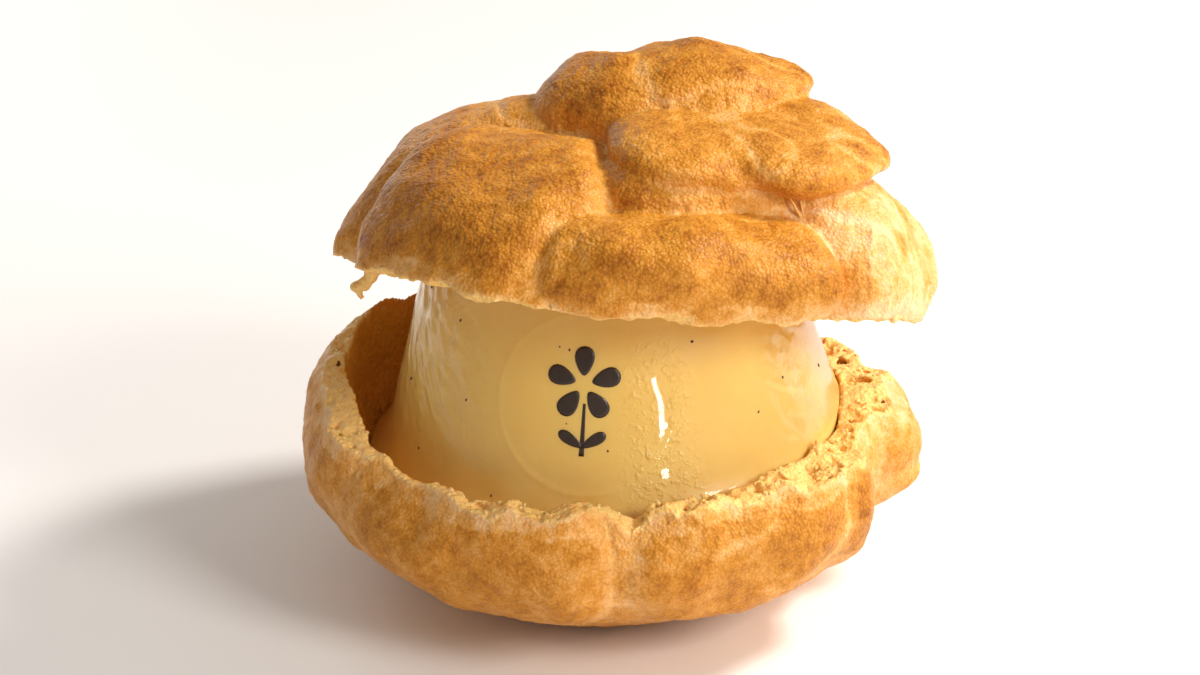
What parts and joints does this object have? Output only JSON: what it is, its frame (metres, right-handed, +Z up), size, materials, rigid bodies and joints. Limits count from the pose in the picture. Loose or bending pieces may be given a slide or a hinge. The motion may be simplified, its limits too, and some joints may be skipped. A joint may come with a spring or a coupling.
{
  "type": "cream puff",
  "caption": "Choux bun cut open: a torn choux cup, a moulded vanilla custard pudding standing in it, and the lobed crown of the bun resting on top.",
  "frame": {"origin": "middle of the cup's flat foot, on the surface that it stands on", "axes": "+Z up, -Y towards the open front of the bun, +X to the right seen from the front"},
  "size_m": [0.0901, 0.0864, 0.0774],
  "materials": {
    "choux_crown": "matte",
    "choux_cup": "matte",
    "custard_pudding": "wet gloss"
  },
  "bodies": {
    "root": {"choux_crown": "choux_crown", "choux_cup": "choux_cup", "custard_pudding": "custard_pudding"}
  },
  "joints": []
}
